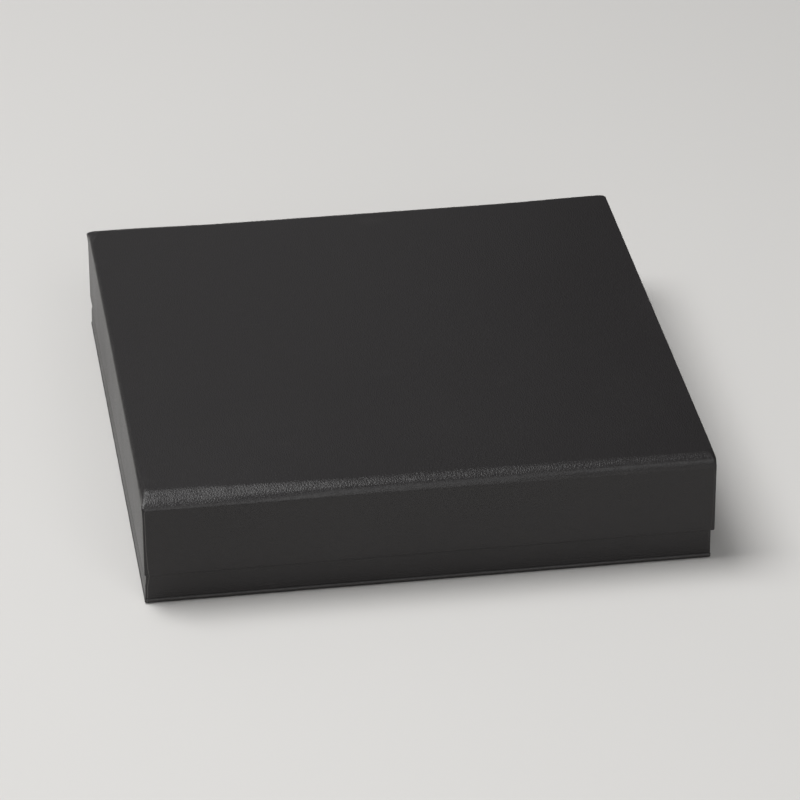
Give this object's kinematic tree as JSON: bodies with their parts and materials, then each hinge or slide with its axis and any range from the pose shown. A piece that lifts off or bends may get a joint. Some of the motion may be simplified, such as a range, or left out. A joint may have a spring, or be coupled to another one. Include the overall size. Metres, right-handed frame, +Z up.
{
  "type": "gift box",
  "caption": "Low rigid gift box: a padded, leatherette-covered lid with deep sides lifts straight off a paper-lined tray covered to match.",
  "frame": {"origin": "middle of the underside, on the surface that the box stands on", "axes": "+X along the width, +Y from the front to the back, +Z up"},
  "size_m": [0.25, 0.26, 0.0518],
  "materials": {
    "leatherette": "satin",
    "greyboard": "matte",
    "kraft_tape": "matte",
    "liner_paper": "matte",
    "pad_foam": "matte"
  },
  "bodies": {
    "base": {"base_bottom_board": "greyboard", "base_front_wall": "greyboard", "base_back_wall": "greyboard", "base_left_wall": "greyboard", "base_right_wall": "greyboard", "base_corner_stay_front_left": "kraft_tape", "base_corner_stay_front_right": "kraft_tape", "base_corner_stay_back_left": "kraft_tape", "base_corner_stay_back_right": "kraft_tape", "base_wrap": "leatherette", "base_bottom_sheet": "liner_paper", "base_floor_liner": "liner_paper", "base_wall_liner": "liner_paper"},
    "lid": {"lid_top_board": "greyboard", "lid_front_wall": "greyboard", "lid_back_wall": "greyboard", "lid_left_wall": "greyboard", "lid_right_wall": "greyboard", "lid_corner_stay_front_left": "kraft_tape", "lid_corner_stay_front_right": "kraft_tape", "lid_corner_stay_back_left": "kraft_tape", "lid_corner_stay_back_right": "kraft_tape", "lid_pad": "pad_foam", "lid_wrap": "leatherette", "lid_ceiling_liner": "liner_paper", "lid_wall_liner": "liner_paper"}
  },
  "joints": [
    {"name": "lid_lift", "type": "slide", "parent": "base", "child": "lid", "axis": [0, 0, 1], "range_m": [0, 0.1]}
  ]
}
